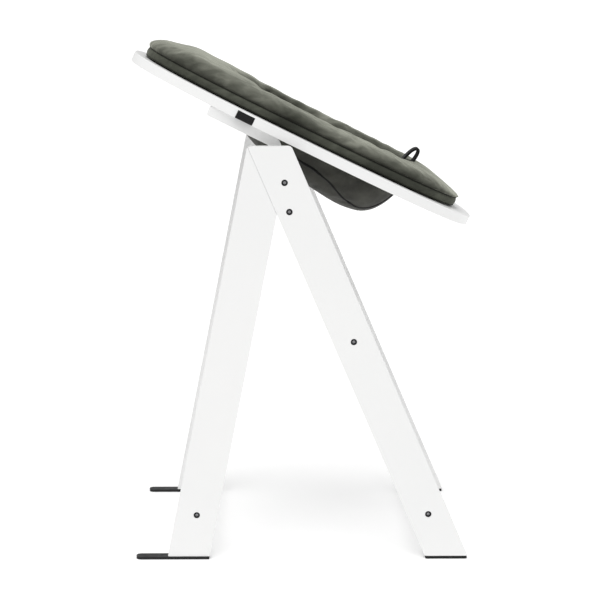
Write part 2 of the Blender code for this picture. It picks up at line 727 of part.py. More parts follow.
def make_seat_board():
    outline = [deck_point(angle) for angle in ring_angles(64)]
    opening = [opening_point(angle) for angle in ring_angles(RING_POINTS)]
    board = place("seat_board", sheet_mesh("seat_board", [outline, opening], BOARD), LACQUER,
                  location=(0, 0, (DECK_BOTTOM + DECK_TOP) / 2), parent=seat_frame)
    add_bevel(board, BOARD_SOFTENING, 1)
    for side_name, side in SIDES:
        pocket_height = LATCH_TOP + GAP - DECK_BOTTOM + 0.004
        pocket = box_mesh("latch_pocket_" + side_name, LATCH_LENGTH, LATCH_DEPTH + 0.010,
                          pocket_height)
        cut(board, place_cutter("latch_pocket_" + side_name, pocket, parent=seat_frame,
                                location=(LATCH_U, side * (LATCH_OUTER - LATCH_DEPTH / 2 + 0.005),
                                          LATCH_TOP + GAP - pocket_height / 2)))
        for number, station in enumerate(PIN_STATIONS, start=1):
            name = "deck_pin_hole_%d_%s" % (number, side_name)
            hole = rod_mesh(name, PIN_RADIUS + GAP, 2 * (PIN_RISE + 0.001), 12)
            cut(board, place_cutter(name, hole,
                                    location=(station, side * (ARM_INNER + BOARD / 2), DECK_BOTTOM),
                                    parent=seat_frame))


SPRING_TURNS = 7
SPRING_RADIUS = 0.0022
SPRING_WIRE = 0.0004
SPRING_OUTER_END = LATCH_OUTER + BUTTON_PROUD - BUTTON_FACE - BUTTON_TRAVEL - GAP
SPRING_LENGTH = SPRING_OUTER_END - (LATCH_OUTER - LATCH_DEPTH + LATCH_WALL + GAP)


def spring_curve(name):
    """A coil along its own Z axis that starts at its origin, at its compressed length."""
    curve = bpy.data.curves.new(name, 'CURVE')
    curve.dimensions = '3D'
    curve.bevel_depth = SPRING_WIRE
    curve.bevel_resolution = 0
    curve.use_fill_caps = True
    points_per_turn = 8
    count = SPRING_TURNS * points_per_turn + 1
    spline = curve.splines.new('POLY')
    spline.points.add(count - 1)
    for index, point in enumerate(spline.points):
        angle = 2 * math.pi * index / points_per_turn
        height = SPRING_WIRE + (SPRING_LENGTH - 2 * SPRING_WIRE) * index / (count - 1)
        point.co = (SPRING_RADIUS * math.cos(angle), SPRING_RADIUS * math.sin(angle), height, 1)
    return curve


def make_latches():
    height = LATCH_TOP - DECK_BOTTOM - GAP
    middle_n = (LATCH_TOP + DECK_BOTTOM + GAP) / 2
    cavity_length = LATCH_LENGTH - 0.008
    cavity_height = 0.0086
    for side_name, side in SIDES:
        name = "latch_housing_" + side_name
        housing = place(name, box_mesh(name, LATCH_LENGTH - 2 * GAP, LATCH_DEPTH, height),
                        BLACK_NYLON, parent=seat_frame,
                        location=(LATCH_U, side * (LATCH_OUTER - LATCH_DEPTH / 2), middle_n))
        add_bevel(housing, 0.0008, 1)
        cavity_depth = LATCH_DEPTH - LATCH_WALL
        cavity = box_mesh(name + "_cavity", cavity_length, cavity_depth + 0.004, cavity_height)
        cut(housing, place_cutter(name + "_cavity", cavity, parent=seat_frame,
                                  location=(LATCH_U, side * (LATCH_OUTER - cavity_depth / 2 + 0.002),
                                            middle_n)))
        strike_hole = rod_mesh("strike_hole_" + side_name, STRIKE_RADIUS + 0.0005, 0.010, 12)
        cut(housing, place_cutter("strike_hole_" + side_name, strike_hole, parent=seat_frame,
                                  location=(LATCH_U, side * (ARM_INNER + BOARD / 2), DECK_BOTTOM)))
        name = "latch_button_" + side_name
        face = LATCH_OUTER + BUTTON_PROUD
        button = place(name, box_mesh(name, cavity_length - 2 * GAP, BUTTON_DEPTH,
                                      cavity_height - 2 * GAP),
                       BLACK_NYLON, parent=seat_frame,
                       location=(LATCH_U, side * (face - BUTTON_DEPTH / 2), middle_n))
        add_bevel(button, 0.0008, 1)
        make_hole(button, "spring_bore_" + side_name, SPRING_RADIUS + SPRING_WIRE + GAP, LATCH_U,
                  middle_n, side * (face - BUTTON_FACE), side * (face - BUTTON_DEPTH - 0.002), 16,
                  parent=seat_frame)
        name = "latch_spring_" + side_name
        spring = bpy.data.objects.new(name, spring_curve(name))
        spring.data.materials.append(SPRING_STEEL)
        spring.parent = seat_frame
        spring.location = (LATCH_U, side * SPRING_OUTER_END, middle_n)
        spring.rotation_euler = (side * math.pi / 2, 0, 0)
        part_collection.objects.link(spring)


# ---- soft parts -----------------------------------------------------------------------------

def pouch_depth(u, share):
    """Depth of the pouch under the board: deeper towards the foot end, steep at its edge."""
    deepest = POUCH_DEPTH + POUCH_DEPTH_SLOPE * u
    return deepest * (1 - share ** POUCH_FULLNESS)


def head_roll(u):
    """Extra height of the rim across the head end."""
    return HEAD_ROLL * math.exp(-((u - HEAD_ROLL_U) / HEAD_ROLL_SPREAD) ** 2)


SUNK_SHARES = (0.22, 0.45, 0.65, 0.80, 0.90, 0.96)
POUCH_INNER_SCALE = 0.970
LINER_OUTER_SCALE = 0.935
LINER_INNER_SCALE = 0.860
LINER_TOP_SCALE = 0.880


def sunk_ring(share, scale, lift):
    """A ring of the sagging bottom, scaled towards the middle and lifted."""
    ring = []
    for angle in ring_angles(RING_POINTS):
        u, _y = opening_share(angle, share)
        scaled_u, scaled_y = opening_share(angle, share * scale)
        ring.append((scaled_u, scaled_y, DECK_BOTTOM - pouch_depth(u, share) + lift))
    return ring


def make_cushion_base():
    outline = [pad_share(angle, 0.02) for angle in ring_angles(56)]
    opening = [pad_share(angle, 0.86) for angle in ring_angles(RING_POINTS)]
    thickness = PAD_BASE_TOP - PAD_BASE_BOTTOM
    base = place("cushion_base", sheet_mesh("cushion_base", [outline, opening], thickness), VELVET,
                 location=(0, 0, PAD_BASE_BOTTOM + thickness / 2), parent=seat_frame)
    add_bevel(base, 0.002, 1)


def make_pouch():
    """The fabric tub: a flange on the board, walls through the opening, and a sagging bottom."""
    angles = ring_angles(RING_POINTS)
    middle = (OPENING_HEAD_U + OPENING_FOOT_U) / 2

    def level_ring(grow, height):
        return [(*opening_point(angle, grow), height) for angle in angles]

    flange_bottom = DECK_TOP + GAP
    flange_top = flange_bottom + FLANGE_THICKNESS
    inner_wall = -POUCH_CLEARANCE - POUCH_THICKNESS
    rings = [sunk_ring(share, POUCH_INNER_SCALE, POUCH_THICKNESS) for share in SUNK_SHARES]
    rings.append(level_ring(inner_wall, DECK_BOTTOM - 0.004))
    rings.append(level_ring(inner_wall, flange_top))
    rings.append(level_ring(FLANGE_WIDTH, flange_top))
    rings.append(level_ring(FLANGE_WIDTH, flange_bottom))
    rings.append(level_ring(-POUCH_CLEARANCE, flange_bottom))
    rings.append(level_ring(-POUCH_CLEARANCE, DECK_BOTTOM - 0.006))
    rings += [sunk_ring(share, 1, 0) for share in reversed(SUNK_SHARES)]
    bottom = DECK_BOTTOM - pouch_depth(middle, 0)
    loft("seat_pouch", (middle, 0, bottom + POUCH_THICKNESS), rings, (middle, 0, bottom),
         POUCH_CLOTH, parent=seat_frame)


def rim_height(share, u):
    """Height of the cushion's rim between the pad's outline (0) and the opening's edge (1)."""
    bulge = math.sin(math.pi * share ** 0.75)
    shoulder = PAD_BASE_TOP + 0.006
    return shoulder + (PAD_CREST - shoulder) * bulge ** 0.6 + head_roll(u) * bulge


RIM_SHARES = (0.03, 0.12, 0.25, 0.40, 0.58, 0.75, 0.90)


def make_cushion_rim():
    """The padded ring that lies on the cushion base round the seat hollow."""
    angles = ring_angles(RING_POINTS)

    def rim_ring(share, height=None):
        ring = []
        for angle in angles:
            u, y = pad_share(angle, share)
            ring.append((u, y, rim_height(share, u) if height is None else height))
        return ring

    bottom = PAD_BASE_TOP + 2 * GAP
    inner = [opening_share(angle, LINER_TOP_SCALE) for angle in angles]
    rings = [rim_ring(share) for share in RIM_SHARES]
    rings.append([(u, y, PAD_BASE_TOP + 0.009) for u, y in inner])
    rings.append([(u, y, bottom) for u, y in inner])
    rings.append(rim_ring(0.02, bottom))
    rings.append(rim_ring(0.0, PAD_BASE_TOP + 0.004))
    loft_ring("cushion_rim", rings, VELVET, parent=seat_frame)


def make_seat_liner():
    """The padded cup inside the rim, sunk into the pouch."""
    angles = ring_angles(RING_POINTS)
    middle = (OPENING_HEAD_U + OPENING_FOOT_U) / 2

    def wall_ring(share, height):
        return [(*opening_share(angle, share), height) for angle in angles]

    low = POUCH_THICKNESS + LINER_CLEARANCE
    high = low + LINER_THICKNESS
    rings = [sunk_ring(share, LINER_INNER_SCALE, high) for share in SUNK_SHARES]
    rings.append(wall_ring(LINER_TOP_SCALE, DECK_TOP))
    rings.append(wall_ring(LINER_TOP_SCALE, PAD_BASE_TOP))
    rings.append(wall_ring(LINER_OUTER_SCALE, PAD_BASE_TOP))
    rings.append(wall_ring(LINER_OUTER_SCALE, DECK_BOTTOM - 0.002))
    rings += [sunk_ring(share, LINER_OUTER_SCALE, low) for share in reversed(SUNK_SHARES)]
    deepest = DECK_BOTTOM - pouch_depth(middle, 0)
    loft("seat_liner", (middle, 0, deepest + high), rings, (middle, 0, deepest + low),
         VELVET, parent=seat_frame)


def make_crotch_loop():
    """A webbing loop that stands up at the foot end of the seat hollow."""

    def path(offset):
        points = []
        for step in range(15):
            swing = math.pi * (1 - step / 14)
            across = (LOOP_HALF_GAP + offset) * math.cos(swing)
            rise = (LOOP_RISE + offset) * math.sin(swing) ** 0.75
            points.append((LOOP_U + across + rise * math.tan(LOOP_LEAN), LOOP_BASE + rise))
        return points

    outline = path(LOOP_THICKNESS / 2) + list(reversed(path(-LOOP_THICKNESS / 2)))
    place("crotch_loop", sheet_mesh("crotch_loop", [outline], LOOP_WIDTH), WEBBING,
          rotation=UPRIGHT, parent=seat_frame)


for name_of_side, sign in SIDES:
    make_side(name_of_side, sign)
make_bars()
make_pivots()
make_arms()
make_seat_board()
make_latches()
make_cushion_base()
make_pouch()
make_cushion_rim()
make_seat_liner()
make_crotch_loop()
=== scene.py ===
"""Looks of the newborn bouncer seat on its A-frame stand: fabric, finishes, light and camera."""
import json
import math

import bmesh
import bpy
import numpy as np
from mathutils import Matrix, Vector, noise


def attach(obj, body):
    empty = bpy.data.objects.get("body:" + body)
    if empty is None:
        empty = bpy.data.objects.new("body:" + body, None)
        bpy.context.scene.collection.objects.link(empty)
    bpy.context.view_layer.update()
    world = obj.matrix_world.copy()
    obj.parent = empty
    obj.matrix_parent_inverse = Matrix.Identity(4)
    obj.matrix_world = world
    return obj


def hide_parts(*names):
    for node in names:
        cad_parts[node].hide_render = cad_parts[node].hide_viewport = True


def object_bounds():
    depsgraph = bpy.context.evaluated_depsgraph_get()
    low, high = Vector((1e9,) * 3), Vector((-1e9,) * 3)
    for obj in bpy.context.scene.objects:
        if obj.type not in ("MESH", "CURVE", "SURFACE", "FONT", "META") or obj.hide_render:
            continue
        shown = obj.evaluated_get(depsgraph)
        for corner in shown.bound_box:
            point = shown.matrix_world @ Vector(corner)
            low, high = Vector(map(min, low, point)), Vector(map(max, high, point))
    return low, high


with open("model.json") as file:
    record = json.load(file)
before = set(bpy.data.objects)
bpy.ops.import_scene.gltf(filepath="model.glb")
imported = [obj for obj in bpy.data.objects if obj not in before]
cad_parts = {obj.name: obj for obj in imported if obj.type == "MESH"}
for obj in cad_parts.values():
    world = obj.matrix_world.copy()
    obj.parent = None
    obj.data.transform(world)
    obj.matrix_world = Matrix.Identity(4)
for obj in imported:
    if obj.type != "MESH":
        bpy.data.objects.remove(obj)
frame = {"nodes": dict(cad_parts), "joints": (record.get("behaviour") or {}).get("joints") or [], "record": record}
cad_low, cad_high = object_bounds()
nodes = frame["nodes"]

# ---- sizes shared with the solid model, in metres -------------------------------------------
# u runs along the seat board towards the foot end and n is the board's normal, both from the
# recline pivot. y is the width of the object.

recline = next(joint for joint in frame["joints"] if joint["name"] == "recline")
PIVOT = Vector(recline["pos_m"])
TILT = math.radians(26)

DECK_BOTTOM = 0.061
DECK_TOP = 0.079
PAD_HEAD_U = -0.318
PAD_FOOT_U = 0.310
PAD_HALF_WIDTH = 0.163
HEAD_POWER = 2.5
FOOT_POWER = 3.0
OPENING_HEAD_U = -0.128
OPENING_FOOT_U = 0.208
OPENING_HALF_WIDTH = 0.118
OPENING_POWER = 2.6
OPENING_MIDDLE_U = (OPENING_HEAD_U + OPENING_FOOT_U) / 2
OPENING_HALF_LENGTH = (OPENING_FOOT_U - OPENING_HEAD_U) / 2
POUCH_DEPTH = 0.050              # below the board's underside, at the pivot
POUCH_DEPTH_SLOPE = 0.155        # gained for each metre towards the foot end
POUCH_FULLNESS = 6               # higher for a flatter bottom and steeper sides
SEAM_N = 0.0985                  # the seam between the band and the padded top

ALONG = Vector((math.cos(TILT), 0, -math.sin(TILT)))
NORMAL = Vector((math.sin(TILT), 0, math.cos(TILT)))


def seat_point(u, y, n):
    """A point of the tilted seat frame, in the row frame."""
    spot = PIVOT + ALONG * u + NORMAL * n
    return Vector((spot.x, y, spot.z))


def seat_points(us, ys, ns):
    """Arrays of seat coordinates to an array of points in the row frame."""
    xs = PIVOT.x + ALONG.x * us + NORMAL.x * ns
    zs = PIVOT.z + ALONG.z * us + NORMAL.z * ns
    return np.stack([xs, np.broadcast_to(ys, xs.shape), zs], axis=-1)


def ring_angles(count):
    """Angles of the points of a ring, none of them on an axis."""
    return 2 * np.pi * (np.arange(count) + 0.5) / count


def egg(angles, head_u, foot_u, half_width, head_power, foot_power):
    """Points (u, y) of an oval whose ends have their own superellipse power."""
    cosine, sine = np.cos(angles), np.sin(angles)
    power = np.where(cosine > 0, foot_power, head_power)
    along = np.sign(cosine) * np.abs(cosine) ** (2 / power)
    across = np.sign(sine) * np.abs(sine) ** (2 / power)
    return (head_u + foot_u) / 2 + along * (foot_u - head_u) / 2, across * half_width


def pad_outline(angles, inset=0.0):
    return egg(angles, PAD_HEAD_U + inset, PAD_FOOT_U - inset, PAD_HALF_WIDTH - inset,
               HEAD_POWER, FOOT_POWER)


def opening_outline(angles, scale=1.0):
    half = OPENING_HALF_LENGTH * scale
    return egg(angles, OPENING_MIDDLE_U - half, OPENING_MIDDLE_U + half,
               OPENING_HALF_WIDTH * scale, OPENING_POWER, OPENING_POWER)


def full_depth(us):
    """Depth of the pouch below the board's underside: deeper towards the foot end."""
    return POUCH_DEPTH + POUCH_DEPTH_SLOPE * us


def pouch_depth(us, shares):
    """The full depth, rounded off to nothing at the opening's edge, where shares is 1."""
    return full_depth(us) * (1 - shares ** POUCH_FULLNESS)


# ---- camera ---------------------------------------------------------------------------------

CAMERA_PLACE = (-0.0929, -3.1705, 1.0286)
CAMERA_DIP = 9.448               # degrees below level
CAMERA_TURN = -0.423             # degrees round +Z from looking along +Y

camera_data = bpy.data.cameras.new("camera")
camera_data.lens = 102.95
camera_data.sensor_width = 36.0
camera_data.shift_x = 0.0607
camera_data.shift_y = -0.0592
camera = bpy.data.objects.new("camera", camera_data)
camera.location = CAMERA_PLACE
camera.rotation_euler = (math.radians(90 - CAMERA_DIP), 0, math.radians(CAMERA_TURN))
camera_data.clip_end = 200
bpy.context.scene.collection.objects.link(camera)
bpy.context.scene.camera = camera

# ---- light ----------------------------------------------------------------------------------


def link(made):
    bpy.context.scene.collection.objects.link(made)
    return made


world = bpy.data.worlds.new("studio")
world.use_nodes = True
world.node_tree.nodes["Background"].inputs["Color"].default_value = (1, 1, 1, 1)
world.node_tree.nodes["Background"].inputs["Strength"].default_value = 0.60
bpy.context.scene.world = world
bpy.context.scene.view_settings.view_transform = 'Standard'

soft_sun = bpy.data.lights.new("soft_top_light", 'SUN')
soft_sun.energy = 1.75
soft_sun.angle = math.radians(50)
sun_object = link(bpy.data.objects.new("soft_top_light", soft_sun))
sun_object.rotation_euler = (math.radians(20), math.radians(-6), 0)

# ---- materials ------------------------------------------------------------------------------


class Finish:
    """A Principled material with short helpers for its procedural nodes."""

    def __init__(self, name, color, roughness, **values):
        self.material = bpy.data.materials.new(name)
        self.material.use_nodes = True
        self.tree = self.material.node_tree
        self.shader = self.tree.nodes["Principled BSDF"]
        self.set("Base Color", (*color, 1.0))
        self.set("Roughness", roughness)
        for socket, value in values.items():
            self.set(socket.replace("_", " "), value)
        self.place = self.node("ShaderNodeTexCoord").outputs["Object"]

    def set(self, socket, value):
        self.shader.inputs[socket].default_value = value

    def node(self, kind, **settings):
        made = self.tree.nodes.new(kind)
        for key, value in settings.items():
            setattr(made, key, value)
        return made

    def join(self, output, target):
        self.tree.links.new(output, target)

    def noise(self, scale, detail=2.0, stretch=(1, 1, 1), distortion=0.0):
        mapping = self.node("ShaderNodeMapping")
        mapping.inputs["Scale"].default_value = stretch
        self.join(self.place, mapping.inputs["Vector"])
        texture = self.node("ShaderNodeTexNoise")
        texture.inputs["Scale"].default_value = scale
        texture.inputs["Detail"].default_value = detail
        texture.inputs["Distortion"].default_value = distortion
        self.join(mapping.outputs["Vector"], texture.inputs["Vector"])
        return texture.outputs["Fac"]

    def spread(self, value, low, high, to_low, to_high):
        """Maps a value's range to another range."""
        made = self.node("ShaderNodeMapRange")
        for socket, number in (("From Min", low), ("From Max", high),
                               ("To Min", to_low), ("To Max", to_high)):
            made.inputs[socket].default_value = number
        self.join(value, made.inputs["Value"])
        return made.outputs["Result"]

    def mix(self, factor, first, second, blend='MIX'):
        """A colour mix; first and second are colours or sockets."""
        made = self.node("ShaderNodeMix", data_type='RGBA', blend_type=blend)
        if isinstance(factor, float):
            made.inputs["Factor"].default_value = factor
        else:
            self.join(factor, made.inputs["Factor"])
        for socket, value in ((made.inputs[6], first), (made.inputs[7], second)):
            if isinstance(value, tuple):
                socket.default_value = (*value, 1.0)
            else:
                self.join(value, socket)
        return made.outputs[2]

    def math(self, operation, first, second):
        made = self.node("ShaderNodeMath", operation=operation)
        for socket, value in zip(made.inputs, (first, second)):
            if isinstance(value, (int, float)):
                socket.default_value = value
            else:
                self.join(value, socket)
        return made.outputs[0]

    def bump(self, height, strength, distance):
        made = self.node("ShaderNodeBump")
        made.inputs["Strength"].default_value = strength
        made.inputs["Distance"].default_value = distance
        self.join(height, made.inputs["Height"])
        previous = self.shader.inputs["Normal"]
        if previous.is_linked:
            self.join(previous.links[0].from_socket, made.inputs["Normal"])
        self.join(made.outputs["Normal"], previous)

    def paint(self, output):
        self.join(output, self.shader.inputs["Base Color"])

    def edges(self, radius):
        """1 on worn convex edges, 0 elsewhere."""
        bevel = self.node("ShaderNodeBevel", samples=4)
        bevel.inputs["Radius"].default_value = radius
        geometry = self.node("ShaderNodeNewGeometry")
        dot = self.node("ShaderNodeVectorMath", operation='DOT_PRODUCT')
        self.join(bevel.outputs["Normal"], dot.inputs[0])
        self.join(geometry.outputs["Normal"], dot.inputs[1])
        return self.spread(dot.outputs["Value"], 0.97, 0.80, 0.0, 1.0)


def lacquer_finish():
    """Sprayed satin lacquer over board, with a faint orange peel and handling marks."""
    finish = Finish("white_lacquer_look", (0.82, 0.82, 0.81), 0.42, Coat_Weight=0.15,
                    Coat_Roughness=0.3)
    tint = finish.spread(finish.noise(3.0, 3.0), 0.35, 0.65, 0.0, 1.0)
    body = finish.mix(tint, (0.828, 0.828, 0.822), (0.808, 0.810, 0.806))
    finish.paint(finish.mix(finish.edges(0.0006), body, (0.80, 0.80, 0.795)))
    finish.join(finish.spread(finish.noise(22.0, 4.0), 0.3, 0.7, 0.36, 0.50),
                finish.shader.inputs["Roughness"])
    finish.bump(finish.noise(420.0, 2.0), 0.10, 0.0004)
    finish.bump(finish.noise(60.0, 2.0, stretch=(1, 1, 0.12)), 0.05, 0.0004)
    return finish.material


def velvet_finish(name, deep, light, sheen):
    """Short-pile velvet: a dark pile whose tips catch the light at grazing angles."""
    finish = Finish(name, deep, 0.92, Sheen_Weight=sheen, Sheen_Roughness=0.38,
                    Specular_IOR_Level=0.12)
    finish.set("Sheen Tint", (0.80, 0.82, 0.70, 1.0))
    brushed = finish.spread(finish.noise(13.0, 6.0, stretch=(0.6, 1, 1), distortion=0.5),
                            0.34, 0.62, 0.0, 1.0)
    streaks = finish.spread(finish.noise(75.0, 5.0, stretch=(0.45, 1, 1), distortion=0.4),
                            0.34, 0.66, 0.35, 1.0)
    pile = finish.mix(finish.math('MULTIPLY', brushed, streaks), deep, light)
    # Painted shade: a point attribute multiplies the velvet down to about a quarter of its colour along the seam
    # under the roll and in the harness slots.
    painted_light_level = finish.node("ShaderNodeAttribute", attribute_name="painted_light_level").outputs["Fac"]
    shaded = finish.mix(1.0, pile, (0.26, 0.26, 0.25), 'MULTIPLY')
    finish.paint(finish.mix(finish.spread(painted_light_level, 0.0, 1.0, 0.0, 1.0), shaded, pile))
    finish.bump(finish.noise(70.0, 4.0, stretch=(0.6, 1, 1)), 0.35, 0.003)
    finish.bump(finish.noise(1400.0, 2.0), 0.45, 0.0004)
    return finish.material


def cloth_finish(name, deep, light, threads):
    """Plain woven or brushed cloth with a crossed thread pattern."""
    finish = Finish(name, deep, 0.95, Sheen_Weight=0.12, Sheen_Roughness=0.5,
                    Specular_IOR_Level=0.2)
    finish.paint(finish.mix(finish.spread(finish.noise(26.0, 4.0), 0.3, 0.7, 0.0, 1.0), deep, light))
    heights = []
    for direction in ('X', 'Z'):
        wave = finish.node("ShaderNodeTexWave", bands_direction=direction)
        wave.inputs["Scale"].default_value = threads
        wave.inputs["Distortion"].default_value = 0.6
        finish.join(finish.place, wave.inputs["Vector"])
        heights.append(wave.outputs["Fac"])
    finish.bump(finish.math('MAXIMUM', *heights), 0.35, 0.0003)
    finish.bump(finish.noise(900.0, 2.0), 0.3, 0.0003)
    return finish.material


def steel_finish(name, color, roughness, worn, recess=None):
    """Plated or coated steel with fine brushing, brighter edges and, on request, a brighter
    key socket behind the outer faces of the stand."""
    finish = Finish(name, color, roughness, Metallic=0.85, Specular_IOR_Level=0.3)
    body = finish.mix(finish.edges(0.0006), color, worn)
    if recess:
        split = finish.node("ShaderNodeSeparateXYZ")
        finish.join(finish.place, split.inputs["Vector"])
        depth = finish.math('ABSOLUTE', split.outputs["Y"], 0.0)
        body = finish.mix(finish.spread(depth, SOCKET_Y, SOCKET_Y - 0.0004, 0.0, 1.0), body, recess)
    finish.paint(body)
    finish.join(finish.spread(finish.noise(160.0, 4.0, stretch=(1, 0.1, 1)), 0.3, 0.7,
                              roughness - 0.08, roughness + 0.12),
                finish.shader.inputs["Roughness"])
    finish.bump(finish.noise(900.0, 2.0, stretch=(1, 0.1, 1)), 0.12, 0.0002)
    return finish.material


def coated_finish(name, color, roughness, grain, worn):
    """Powder coat, moulded nylon or rubber: a grained, non-metallic surface."""
    finish = Finish(name, color, roughness, Specular_IOR_Level=0.28)
    finish.paint(finish.mix(finish.edges(0.0008), color, worn))
    finish.join(finish.spread(finish.noise(80.0, 3.0), 0.3, 0.7, roughness - 0.07,
                              roughness + 0.08), finish.shader.inputs["Roughness"])
    finish.bump(finish.noise(grain, 2.0), 0.35, 0.0003)
    return finish.material


def wood_finish():
    finish = Finish("dowel_wood_look", (0.60, 0.44, 0.27), 0.7)
    grain = finish.noise(90.0, 5.0, stretch=(0.1, 1, 1), distortion=0.4)
    finish.paint(finish.mix(grain, (0.64, 0.47, 0.29), (0.45, 0.31, 0.18)))
    finish.bump(grain, 0.3, 0.0004)
    return finish.material


SOCKET_Y = 0.2135                # the key sockets of the stand's bolts lie inside this width
LACQUER = lacquer_finish()
VELVET = velvet_finish("velvet_look", (0.058, 0.061, 0.048), (0.262, 0.268, 0.224), 0.75)
BAND_VELVET = velvet_finish("band_look", (0.032, 0.034, 0.027), (0.086, 0.091, 0.072), 0.25)
POUCH_CLOTH = cloth_finish("pouch_look", (0.026, 0.026, 0.022), (0.056, 0.056, 0.047), 420.0)
WEBBING = cloth_finish("webbing_look", (0.006, 0.006, 0.006), (0.012, 0.012, 0.012), 700.0)
PIPING = cloth_finish("piping_look", (0.005, 0.005, 0.005), (0.010, 0.010, 0.010), 900.0)

looks = {
    "white_lacquer": LACQUER,
    "dowel_wood": wood_finish(),
    "black_steel": coated_finish("black_steel_look", (0.010, 0.010, 0.011), 0.42, 700.0,
                                 (0.05, 0.05, 0.052)),
    "dark_zinc": steel_finish("dark_zinc_look", (0.022, 0.022, 0.024), 0.38, (0.10, 0.10, 0.105),
                              (0.32, 0.32, 0.33)),
    "black_nylon": coated_finish("black_nylon_look", (0.004, 0.004, 0.004), 0.55, 900.0,
                                 (0.016, 0.016, 0.017)),
    "foot_rubber": coated_finish("foot_rubber_look", (0.014, 0.014, 0.014), 0.80, 500.0,
                                 (0.03, 0.03, 0.03)),
    "spring_steel": steel_finish("spring_steel_look", (0.50, 0.50, 0.52), 0.30, (0.7, 0.7, 0.72)),
    "velvet": VELVET,
    "pouch_cloth": POUCH_CLOTH,
    "webbing": WEBBING,
}
node_slots = {part["node"]: part["material_slot"] for part in frame["record"]["subparts"]}
for node_name, solid in nodes.items():
    solid.data.materials.clear()
    solid.data.materials.append(looks[node_slots[node_name]])

# ---- mesh helpers ---------------------------------------------------------------------------


def mesh_piece(name, points, faces, finish):
    mesh = bpy.data.meshes.new(name)
    mesh.from_pydata([tuple(point) for point in points], [], faces)
    shape = bmesh.new()
    shape.from_mesh(mesh)
    bmesh.ops.recalc_face_normals(shape, faces=shape.faces)
    shape.to_mesh(mesh)
    shape.free()
    mesh.materials.append(finish)
    mesh.shade_smooth()
    return link(bpy.data.objects.new(name, mesh))


def ring_faces(ring_count, ring_size, closed_rows=False):
    """Quads between stacked rings of equal size."""
    faces = []
    last = ring_count if closed_rows else ring_count - 1
    for row in range(last):
        below = (row + 1) % ring_count
        for index in range(ring_size):
            after = (index + 1) % ring_size
            faces.append((row * ring_size + index, row * ring_size + after,
                          below * ring_size + after, below * ring_size + index))
    return faces


def pole_faces(ring_start, ring_size, pole):
    """Triangles that close a ring with one point at its middle."""
    return [(ring_start + index, ring_start + (index + 1) % ring_size, pole)
            for index in range(ring_size)]


def set_painted_light_level(piece, values):
    """Gives each point its painted light level, from 0 for painted shade at the seam to 1 in the open."""
    painted_light_levels = piece.data.attributes.new("painted_light_level", 'FLOAT', 'POINT')
    painted_light_levels.data.foreach_set("value", np.array(values, dtype=np.float32))


def points_inward(piece):
    """Whether the surface's normals point down into the pad."""
    total = sum((face.normal * face.area for face in piece.data.polygons), Vector())
    return total.dot(NORMAL) < 0


def apply_modifiers(piece):
    graph = bpy.context.evaluated_depsgraph_get()
    fresh = bpy.data.meshes.new_from_object(piece.evaluated_get(graph))
    piece.modifiers.clear()
    old = piece.data
    piece.data = fresh
    bpy.data.meshes.remove(old)
    piece.data.shade_smooth()


def subdivide(piece):
    modifier = piece.modifiers.new("smooth", 'SUBSURF')
    modifier.levels = 1
    modifier.render_levels = 1
    apply_modifiers(piece)


CORD_RESOLUTION = 3              # ten sides round a cord


def tube_along(name, points, radius, finish, closed=True):
    """A round cord or piping along points, as a closed mesh."""
    curve = bpy.data.curves.new(name, 'CURVE')
    curve.dimensions = '3D'
    curve.bevel_depth = radius
    curve.bevel_resolution = CORD_RESOLUTION
    curve.use_fill_caps = not closed
    spline = curve.splines.new('POLY')
    spline.points.add(len(points) - 1)
    for target, point in zip(spline.points, points):
        target.co = (*point, 1)
    spline.use_cyclic_u = closed
    guide = link(bpy.data.objects.new(name, curve))
    graph = bpy.context.evaluated_depsgraph_get()
    mesh = bpy.data.meshes.new_from_object(guide.evaluated_get(graph))
    bpy.data.objects.remove(guide)
    mesh.materials.clear()
    mesh.materials.append(finish)
    mesh.shade_smooth()
    return link(bpy.data.objects.new(name, mesh))


CLOTH_FRAMES = 18
CLOTH_DAMPING = 8


def inflate(piece, pinned, pressure, extra, cap, stiffness=12.0):
    """Lets the cloth swell and crease between its pinned points, then keeps the result.
    extra is the share of spare fabric, and cap is how far a point may move."""
    start = np.array([vertex.co for vertex in piece.data.vertices])
    group = piece.vertex_groups.new(name="pinned")
    for index, weight in enumerate(pinned):
        if weight > 0:
            group.add([index], float(weight), 'REPLACE')
    cloth = piece.modifiers.new("cloth", 'CLOTH')
    settings = cloth.settings
    settings.quality = 6
    settings.mass = 0.25
    settings.tension_stiffness = stiffness
    settings.compression_stiffness = stiffness
    settings.shear_stiffness = stiffness / 2
    settings.bending_stiffness = 0.35
    settings.tension_damping = CLOTH_DAMPING
    settings.compression_damping = CLOTH_DAMPING
    settings.shear_damping = CLOTH_DAMPING
    settings.bending_damping = 1.0
    settings.air_damping = 4
    settings.use_pressure = pressure != 0
    settings.uniform_pressure_force = pressure
    settings.shrink_min = -extra
    settings.shrink_max = -extra
    settings.vertex_group_mass = "pinned"
    settings.effector_weights.gravity = 0.0
    cloth.collision_settings.use_collision = False
    cloth.point_cache.frame_start = 1
    cloth.point_cache.frame_end = CLOTH_FRAMES
    scene = bpy.context.scene
    for number in range(1, CLOTH_FRAMES + 1):
        scene.frame_set(number)
    graph = bpy.context.evaluated_depsgraph_get()
    swollen = piece.evaluated_get(graph)
    moved = np.array([vertex.co for vertex in swollen.data.vertices]) - start
    piece.modifiers.clear()
    scene.frame_set(1)
    distance = np.linalg.norm(moved, axis=1, keepdims=True)
    moved *= np.minimum(1.0, cap / np.maximum(distance, 1e-9))
    moved = np.nan_to_num(moved)
    for vertex, shift in zip(piece.data.vertices, moved):
        vertex.co = vertex.co + Vector(shift)


# ---- carried-over solids --------------------------------------------------------------------

SMOOTH_ANGLE = math.radians(32)


